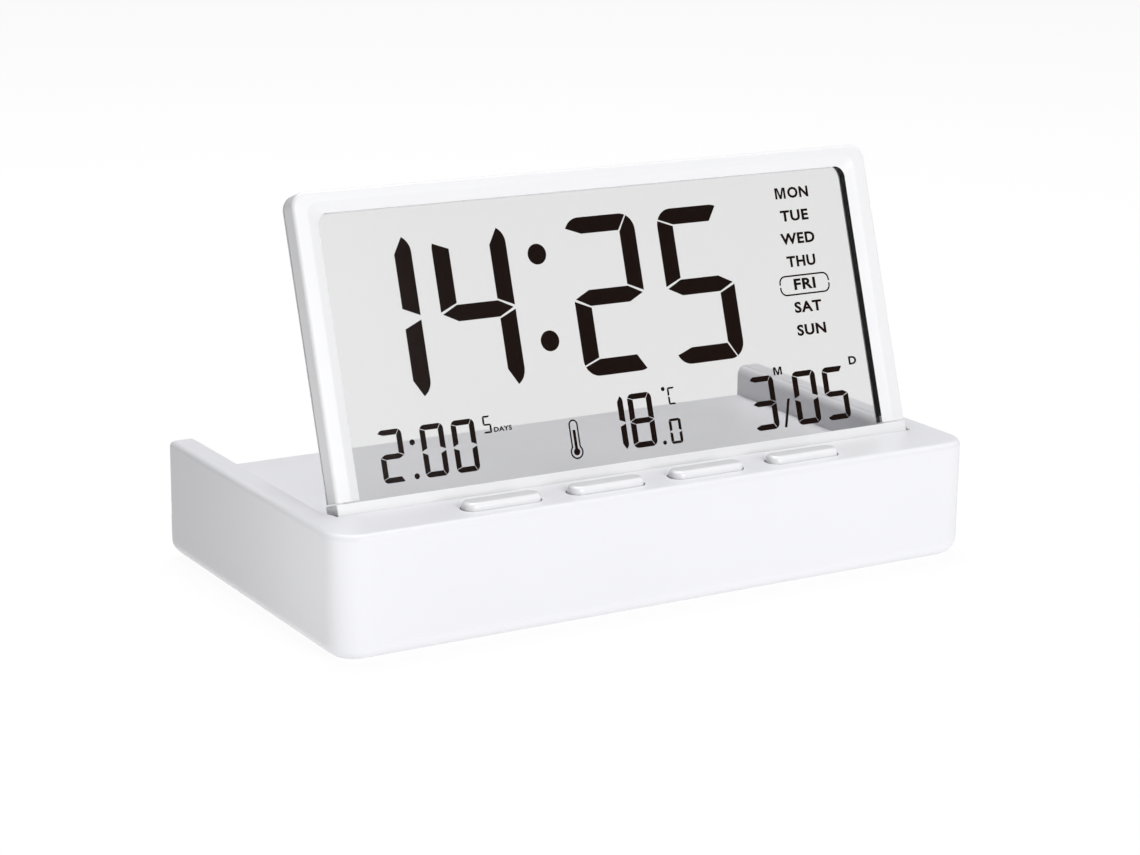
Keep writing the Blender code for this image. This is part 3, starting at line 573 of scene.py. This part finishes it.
def buildButtons():
    low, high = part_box("button_1")
    flangeTop = low.z + button["flangeThick"]
    x, y = (low.x + high.x) / 2, (low.y + high.y) / 2
    cap = pillBlock("buttonCap1", x, y, low.z, flangeTop, high.x - low.x, high.y - low.y)
    mergeDoubles(cap, 0.02 * mm)
    pickFaces(cap, lambda middle, normal: normal.z > 0.9)
    bpy.ops.mesh.inset(thickness=button["flange"], depth=0)
    bpy.ops.mesh.extrude_region_move(TRANSFORM_OT_translate={"value": (0, 0, high.z - flangeTop)})
    endEdit()
    roundEdges(cap, button["crown"], 7, lambda mid, way: mid.z > high.z - touch)
    smoothOff(cap, 40)
    caps = [cap]
    for number in range(2, 5):
        other = cap.copy()
        other.data = cap.data.copy()
        other.name = f"buttonCap{number}"
        bpy.context.scene.collection.objects.link(other)
        selectOnly(other)
        other.location = (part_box(f"button_{number}")[0].x - low.x, 0, 0)
        bpy.ops.object.transform_apply(location=True, rotation=True, scale=True)
        caps.append(other)
    for number, piece in enumerate(caps, 1):
        finishPiece(piece, f"button_{number}", buttonAbs, "white_abs", f"button_{number}")


buildButtons()
print("buttons ready")

# screen, built upright about the hinge axis

# sizes in mm; depths are from the frame's face, heights from the hinge axis
screen = {
    "halfWidth": 63.4, "thick": 4.8, "top": 61.7, "cornerRadius": 3.0, "rim": 0.7,
    "stile": 5.0, "windowTop": 57.6, "windowRadius": 2.2, "flare": 2.0,
    "sealFront": 0.8, "glassFront": 3.0, "bezelBack": 3.6, "coverFront": 3.9, "lipFront": 4.35,
    "railTop": 5.1, "gap": 0.3, "glassMargin": 2.0, "sealRoom": 0.85, "glassBottom": 3.6,
    "pinIn": 3.0, "pinBore": 1.3, "endRadius": 0.2,
    "chamberHalf": 56.0, "chamberFront": 1.6, "chamberBack": 3.9, "chamberDrop": 0.9,
    "gasketOuter": 0.8, "gasketInner": 0.35, "gasketGap": 0.05, "gasketCorner": 0.6,
    "lip": 0.5, "lipGap": 0.1, "roomRadius": 0.5, "backOpening": 1.2, "openingRadius": 0.25, "arris": 0.1,
}
screen = {key: value * mm for key, value in screen.items()}
windowX = screen["halfWidth"] - screen["stile"]
front = -screen["thick"] / 2


def windowBlock(name, grow, near, far, radius, bottom=-20 * mm):
    # the window's shape between two depths, which runs on below the window unless bottom is given
    half, top = windowX + grow, screen["windowTop"] + grow
    piece = addBlock(name, (-half, front + near, bottom), (half, front + far, top))
    roundEdges(piece, radius, 9, lambda mid, way: abs(way.y) > 0.99 and mid.z > 0)
    return piece


def frameBlock(name, near, far, rimDepth):
    bottom = screen["railTop"] + screen["gap"]
    half = screen["halfWidth"]
    piece = addBlock(name, (-half, front + near, bottom), (half, front + far, screen["top"]))
    roundEdges(piece, screen["cornerRadius"], 12,
               lambda mid, way: abs(way.y) > 0.99 and mid.z > bottom + 1 * mm)
    rimY = front + rimDepth
    roundEdges(piece, screen["rim"], 5,
               lambda mid, way: abs(mid.y - rimY) < touch and mid.z > bottom + touch)
    return piece


def lipBlock(grow):
    # the frame's lip along the window's top, which reaches back to the display and covers the gasket
    half, top = windowX - screen["windowRadius"] + grow, screen["windowTop"]
    return addBlock("lip", (-half, front, top), (half, front + screen["glassFront"], top + screen["lip"] + grow))


# the window's flare: depths in mm, and how much of its reach it has there
flareSteps = {0.14: 0.84, 0.04: 0.97, -0.01: 1.12, -0.5: 1.6}


def buildBezel():
    bezel = frameBlock("screenBezel", 0, screen["bezelBack"], 0)
    flare = windowBlock("flare", 0, screen["sealFront"], screen["bezelBack"], screen["windowRadius"])
    pickFaces(flare, lambda middle, normal: normal.y < -0.9)
    seal, reach = screen["sealFront"], screen["flare"]
    level = seal
    for depth in flareSteps:
        bpy.ops.mesh.extrude_region_move(TRANSFORM_OT_translate={"value": (0, depth * mm - level, 0)})
        level = depth * mm
    endEdit()
    for vertex in flare.data.vertices:
        for depth, part in flareSteps.items():
            if abs(vertex.co.y - front - depth * mm) < touch:
                vertex.co.x += math.copysign(reach * part, vertex.co.x)
                vertex.co.z += reach * part if vertex.co.z > 0 else 0
    edge = screen["glassMargin"] + screen["gap"]
    radius = screen["windowRadius"] + screen["sealRoom"]
    sealRoom = windowBlock("sealRoom", screen["sealRoom"], seal, screen["thick"], radius)
    glassNear = screen["glassFront"] - screen["gap"]
    glassRoom = windowBlock("glassRoom", edge, glassNear, screen["thick"], screen["roomRadius"])
    cutOut(sealRoom, [lipBlock(0)])
    cutOut(bezel, [flare, sealRoom, glassRoom])
    mergeDoubles(bezel, 0.003 * mm)
    smoothOff(bezel, 40)
    leanBack(bezel)
    finishPiece(bezel, "screen", frameAbsPaintedLit, "white_abs", "front_bezel")


def buildCover():
    cover = frameBlock("screenBackCover", screen["coverFront"], screen["thick"], screen["thick"])
    edge = screen["glassMargin"] + screen["gap"]
    room = windowBlock("room", edge, 0, screen["lipFront"], screen["roomRadius"])
    wider = screen["backOpening"]  # so that its edge stays out of sight from the front
    opening = windowBlock("opening", wider, 0, screen["thick"] + 5 * mm, screen["windowRadius"] + wider)
    cutOut(cover, [room, opening])
    side, top = windowX + wider + touch, screen["windowTop"] + wider + touch
    bottom = screen["railTop"] + screen["gap"] + touch
    roundEdges(cover, screen["openingRadius"], 3, lambda mid, way: abs(mid.y + front) < touch
               and abs(mid.x) < side and bottom < mid.z < top)
    smoothOff(cover, 40)
    leanBack(cover)
    finishPiece(cover, "screen", frameAbsPaintedLit, "white_abs", "rear_cover")


def buildRail():
    half, radius = screen["halfWidth"], screen["thick"] / 2
    rail = addBlock("screenRail", (-half, -radius, -radius), (half, radius, screen["railTop"]))
    roundEdges(rail, radius * 0.999, 12, lambda mid, way: abs(way.x) > 0.99 and mid.z < 0)
    roundEdges(rail, screen["endRadius"], 3, lambda mid, way: abs(abs(mid.x) - half) < touch)
    slot = windowX + screen["glassMargin"] + screen["gap"]
    slotLow = (-slot, front + screen["glassFront"] - screen["gap"], screen["glassBottom"] - screen["gap"])
    tools = [addBlock("glassSlot", slotLow, (slot, front + screen["lipFront"], 20 * mm))]
    chamberLow = (-screen["chamberHalf"], front + screen["chamberFront"], -screen["chamberDrop"])
    chamberHigh = (screen["chamberHalf"], front + screen["chamberBack"], screen["glassBottom"])
    tools.append(addBlock("chamber", chamberLow, chamberHigh))
    for side in (-1, 1):
        start = (side * (half - screen["pinIn"] - screen["gap"]), 0, 0)
        tools.append(addRod("bore", start, (side * (half + 20 * mm), 0, 0), screen["pinBore"]))
    cutOut(rail, tools)
    smoothOff(rail)
    leanBack(rail)
    finishPiece(rail, "screen", frameAbsPaintedLit, "white_abs", "bottom_rail")


# two laminated panes, each glass with its film; the rear one stops short to bare the contact strip
panes = {
    "displayPaneFront": {"near": 3.0, "far": 3.57, "short": 0.0, "nodes": ("front_polariser", "lcd_front_glass")},
    "displayPaneRear": {"near": 3.62, "far": 4.19, "short": 1.4, "nodes": ("rear_polariser", "lcd_rear_glass")},
}


def buildPanes():
    half, top = windowX + screen["glassMargin"], screen["windowTop"] + screen["glassMargin"]
    for name, place in panes.items():
        low = (-half, front + place["near"] * mm, screen["glassBottom"] + place["short"] * mm)
        pane = addBlock(name, low, (half, front + place["far"] * mm, top))
        roundEdges(pane, screen["arris"], 2, lambda mid, way: True)
        smoothOff(pane, 50)
        leanBack(pane)
        finishPiece(pane, "screen", displayGlass, "lcd_glass", *place["nodes"])


def buildGasket():
    # the black foam ring between frame and display; its inner edge sits back behind the frame's
    near, far = screen["sealFront"] + screen["gasketGap"], screen["glassFront"] - screen["gasketGap"]
    bottom = screen["railTop"] + screen["gap"]
    radius = screen["windowRadius"] + screen["gasketCorner"]
    gasket = windowBlock("windowGasket", screen["gasketOuter"], near, far, radius, bottom)
    inner = windowBlock("inner", screen["gasketInner"], 0, screen["thick"], screen["windowRadius"])
    cutOut(gasket, [inner, lipBlock(screen["lipGap"])])
    smoothOff(gasket, 40)
    leanBack(gasket)
    finishPiece(gasket, "screen", gasketFoam, "seal_black", "window_seal")


buildBezel()
buildGasket()
buildCover()
buildRail()
buildPanes()
print("screen ready")

# what the display shows

# sizes in mm
display = {
    "inkFront": 3.58, "inkThick": 0.03,  # between the two panes
    "digitWidth": 16.0, "digitHeight": 30.6, "barWidth": 3.6,
}
lettering = {"thick": 0.1, "bolder": 0.036, "spacing": 1.1}  # in the font's own units


def turnPoints(centre, radius, start, end, steps=6):
    turns = [math.radians(start + (end - start) * i / steps) for i in range(steps + 1)]
    return [(centre[0] + radius * math.cos(t), centre[1] + radius * math.sin(t)) for t in turns]


bend = 3.4  # outer corners of a figure that is 16 wide and 30.6 high, in mm
upLeft, upRight, downLeft, downRight = (3.4, 27.2), (12.6, 27.2), (3.4, 3.4), (12.6, 3.4)
bars = {
    "a": [*turnPoints(upLeft, bend, 155, 90), *turnPoints(upRight, bend, 90, 64),
          (12.2, 27.4), (3.75, 27.4)],
    "b": [*turnPoints(upRight, bend, 60, 0), (16.0, 15.4), (12.4, 16.9), (12.4, 27.05)],
    "c": [(16.0, 14.6), *turnPoints(downRight, bend, 0, -60), (12.4, 3.55), (12.4, 13.1)],
    "d": [*turnPoints(downRight, bend, -64, -90), *turnPoints(downLeft, bend, -90, -155),
          (3.75, 3.2), (12.2, 3.2)],
    "e": [*turnPoints(downLeft, bend, -160, -180, 3), (0.0, 14.6), (3.6, 13.1), (3.6, 3.5)],
    "f": [(0.0, 15.4), *turnPoints(upLeft, bend, 180, 160, 3), (3.6, 27.1), (3.6, 16.9)],
    "g": [(0.35, 15.0), (3.55, 16.55), (12.45, 16.55), (15.65, 15.0), (12.45, 13.45), (3.55, 13.45)],
}
figures = {
    "0": "abcdef", "1": "bc", "2": "abged", "3": "abgcd", "4": "fgbc", "5": "afgcd", "8": "abcdefg", "C": "adef",
}


def addShape(name, outlines):
    # closed outlines in mm, filled and given the ink's thickness
    curve = bpy.data.curves.new(name, "CURVE")
    curve.dimensions = "2D"
    curve.fill_mode = "BOTH"
    curve.extrude = display["inkThick"] * mm / 2
    for outline in outlines:
        line = curve.splines.new("POLY")
        line.points.add(len(outline) - 1)
        for point, (x, y) in zip(line.points, outline):
            point.co = (x * mm, y * mm, 0, 1)
        line.use_cyclic_u = True
    piece = bpy.data.objects.new(name, curve)
    bpy.context.scene.collection.objects.link(piece)
    selectOnly(piece)
    bpy.ops.object.convert(target="MESH")
    return piece


def figure(character, left, bottom, width, height):
    wide, tall = width / display["digitWidth"], height / display["digitHeight"]
    if character == "1":  # only its right-hand bars show
        left = left - width + display["barWidth"] * wide
    return [[(left + x * wide, bottom + y * tall) for x, y in bars[bar]] for bar in figures[character]]


def dot(x, y, radius):
    return turnPoints((x, y), radius, 0, 345, 23)


def rowOutlines(row):
    # a row's figures, all of one size, and its dots
    outlines = []
    for character, left in row["figures"]:
        outlines += figure(character, left, row["bottom"], row["width"], row["height"])
    return outlines + [dot(x, y, row["dotRadius"]) for x, y in row.get("dots", ())]


def letterM(left, bottom, width, height):
    # its strokes are too close together for the font's thickening
    right = [(0.5, 0.3), (0.71, 1), (1, 1), (1, 0), (0.81, 0), (0.81, 0.79), (0.6, 0)]
    outline = right + [(1 - x, y) for x, y in right[:0:-1]]
    return [(left + x * width, bottom + y * height) for x, y in outline]


def addWord(text, centre, bottom, width, height):
    bpy.ops.object.select_all(action="DESELECT")
    bpy.ops.object.text_add()
    piece = bpy.context.object
    piece.data.body = text
    piece.data.extrude = lettering["thick"]
    piece.data.offset = lettering["bolder"]
    piece.data.space_character = lettering["spacing"]
    piece.data.resolution_u = 3
    bpy.ops.object.convert(target="MESH")
    low = Vector(map(min, zip(*(v.co for v in piece.data.vertices))))
    high = Vector(map(max, zip(*(v.co for v in piece.data.vertices))))
    size = (width, height, display["inkThick"])
    target = Vector((centre - width / 2, bottom, -display["inkThick"] / 2))
    for vertex in piece.data.vertices:
        spans = zip(target, vertex.co, low, high, size)
        vertex.co = [(t + (c - l) / (h - l) * s) * mm for t, c, l, h, s in spans]
    return piece


def setOnDisplay(name, pieces):
    # joins the shapes, welds them, stands them between the panes and leans them back
    selectOnly(pieces[0])
    for other in pieces[1:]:
        other.select_set(True)
    if len(pieces) > 1:
        bpy.ops.object.join()
    piece = pieces[0]
    piece.name = name
    mergeDoubles(piece, 0.0005 * mm)
    depth = front + (display["inkFront"] + display["inkThick"] / 2) * mm
    selectOnly(piece)
    piece.matrix_world = Matrix.Translation((0, depth, 0)) @ Matrix.Rotation(math.pi / 2, 4, "X")
    bpy.ops.object.transform_apply(location=True, rotation=True, scale=True)
    leanBack(piece)
    finishPiece(piece, "screen", crystalInk, "seal_black")


# places on the display, in mm from its middle and from the hinge axis
timeRow = {
    "figures": (("1", -42.8), ("4", -35.0), ("2", -6.4), ("5", 14.45)), "bottom": 22.1,
    "width": 15.7, "height": 30.6, "dots": ((-13.0, 46.5), (-13.0, 29.9)), "dotRadius": 2.0,
}
setOnDisplay("timeFigures", [addShape("time", rowOutlines(timeRow))])

alarmRow = {
    "figures": (("2", -51.7), ("0", -43.1), ("0", -36.6)), "bottom": 7.6,
    "width": 4.9, "height": 9.8, "dots": ((-44.9, 14.5), (-44.9, 8.2)), "dotRadius": 0.55,
}
daysRow = {"figures": (("5", -29.9),), "bottom": 14.2, "width": 1.75, "height": 3.3}
daysWord = {"centre": -25.8, "bottom": 14.25, "width": 3.8, "height": 0.95}
shapes = rowOutlines(alarmRow) + rowOutlines(daysRow)
setOnDisplay("alarmReadout", [addShape("alarm", shapes), addWord("DAYS", **daysWord)])

thermometer = {
    "x": -10.8, "bulb": 8.4, "bulbRadius": 1.4, "tube": 1.0, "top": 13.6, "line": 0.3,
    "column": 0.3, "columnTop": 12.6, "columnBulb": 0.68, "columnTurn": 63,
}
degreeRows = (
    {"figures": (("1", -0.5),), "bottom": 7.4, "width": 5.6, "height": 10.5},
    {"figures": (("8", 1.8),), "bottom": 7.4, "width": 5.4, "height": 10.5},
    {"figures": (("0", 10.3),), "bottom": 7.2, "width": 2.7, "height": 4.9,
     "dots": ((8.8, 7.7), (10.1, 18.0)), "dotRadius": 0.42},
    {"figures": (("C", 11.0),), "bottom": 14.8, "width": 1.8, "height": 3.4},
)


def thermometerShapes():
    # an outline with a bulb below and a round top, and the column inside it
    x, bulb, column = thermometer["x"], thermometer["bulb"], thermometer["column"]
    outlines = []
    for inset in (0, thermometer["line"]):
        radius, tube = thermometer["bulbRadius"] - inset, thermometer["tube"] - inset
        turn = math.degrees(math.acos(tube / radius))
        outlines.append([*turnPoints((x, bulb), radius, turn, -180 - turn, 20),
                         *turnPoints((x, thermometer["top"]), tube, 180, 0, 10)])
    turn, top = thermometer["columnTurn"], thermometer["columnTop"]
    outlines.append([*turnPoints((x, bulb), thermometer["columnBulb"], turn, -180 - turn, 20),
                     (x - column, top), (x + column, top)])
    return outlines


shapes = thermometerShapes()
for row in degreeRows:
    shapes += rowOutlines(row)
setOnDisplay("temperatureReadout", [addShape("temperature", shapes)])

dateRow = {"figures": (("3", 30.1), ("0", 40.2), ("5", 47.5)), "bottom": 7.2, "width": 5.6, "height": 10.7}
slash = [(36.8, 7.2), (37.4, 7.2), (39.0, 12.8), (38.4, 12.8)]
monthLetter = {"left": 36.1, "bottom": 17.7, "width": 2.0, "height": 1.6}
dayLetter = {"centre": 55.4, "bottom": 17.8, "width": 1.9, "height": 1.7}
shapes = [*rowOutlines(dateRow), slash, letterM(**monthLetter)]
setOnDisplay("dateReadout", [addShape("date", shapes), addWord("D", **dayLetter)])

weekdays = {
    "centre": 46.75, "first": 52.4, "apart": 4.6, "height": 2.25,
    "widths": {"TUE": 6.7, "WED": 8.2, "THU": 6.9, "FRI": 5.2, "SAT": 6.6, "SUN": 7.0},
}
monday = {"left": 42.9, "letterWidth": 2.5, "restCentre": 48.4, "restWidth": 5.0}
marked = {"left": 40.7, "right": 52.75, "low": 32.95, "high": 37.05, "radius": 1.5, "line": 0.32, "gap": 0.42}


def halfFrame(up):
    # half of the rounded frame round one weekday, with a gap at each side
    middle = (marked["low"] + marked["high"]) / 2 + up * marked["gap"] / 2
    outlines = []
    for inset in (0, marked["line"]):
        radius = marked["radius"] - inset
        edge = marked["high"] - marked["radius"] if up > 0 else marked["low"] + marked["radius"]
        left = turnPoints((marked["left"] + marked["radius"], edge), radius, 180, 180 - 90 * up, 6)
        right = turnPoints((marked["right"] - marked["radius"], edge), radius, 90 * up, 0, 6)
        outlines.append([(marked["left"] + inset, middle), *left, *right, (marked["right"] - inset, middle)])
    return outlines[0] + outlines[1][::-1]


height, first = weekdays["height"], weekdays["first"]
words = [addWord("ON", monday["restCentre"], first, monday["restWidth"], height)]
for row, (text, width) in enumerate(weekdays["widths"].items(), 1):
    words.append(addWord(text, weekdays["centre"], first - weekdays["apart"] * row, width, height))
shapes = [halfFrame(1), halfFrame(-1), letterM(monday["left"], first, monday["letterWidth"], height)]
setOnDisplay("weekdayColumn", [addShape("frame", shapes), *words])
print("display ready")

# finishes on the pieces that keep their CAD shape

finishes = {
    "lower_case": baseAbs, "battery_door": baseAbs,
    "switch_plunger": plungerPlastic,
    "foot": footRubber,
    "case_screw": zincSteel, "board_screw": zincSteel, "hinge_pin": zincSteel, "quartz_crystal": zincSteel,
    "battery_bridge_spring": zincSteel, "battery_negative_spring": zincSteel,
    "battery_positive_contact": nickelStrip, "battery_bridge_plate": nickelStrip,
    "battery_negative_plate": nickelStrip,
    "piezo_buzzer": brassDisc,
    "main_board": boardMask,
    "tact_switch": chipEpoxy, "clock_chip": chipEpoxy, "temperature_sensor": chipEpoxy,
    "battery_cell": cellSleeve,
    "capacitor": capacitorSleeve,
    "connector_strip": zebraStrip,
    "battery_lead_red": redPvc, "battery_lead_black": blackPvc,
    "display_cable": greyPvc, "screen_flex_tape": greyPvc,
}
for name, node in frame["nodes"].items():
    if node.hide_render:
        continue
    material = next(found for start, found in finishes.items() if name.startswith(start))
    node.data.materials.clear()
    node.data.materials.append(material)
print("finishes ready")
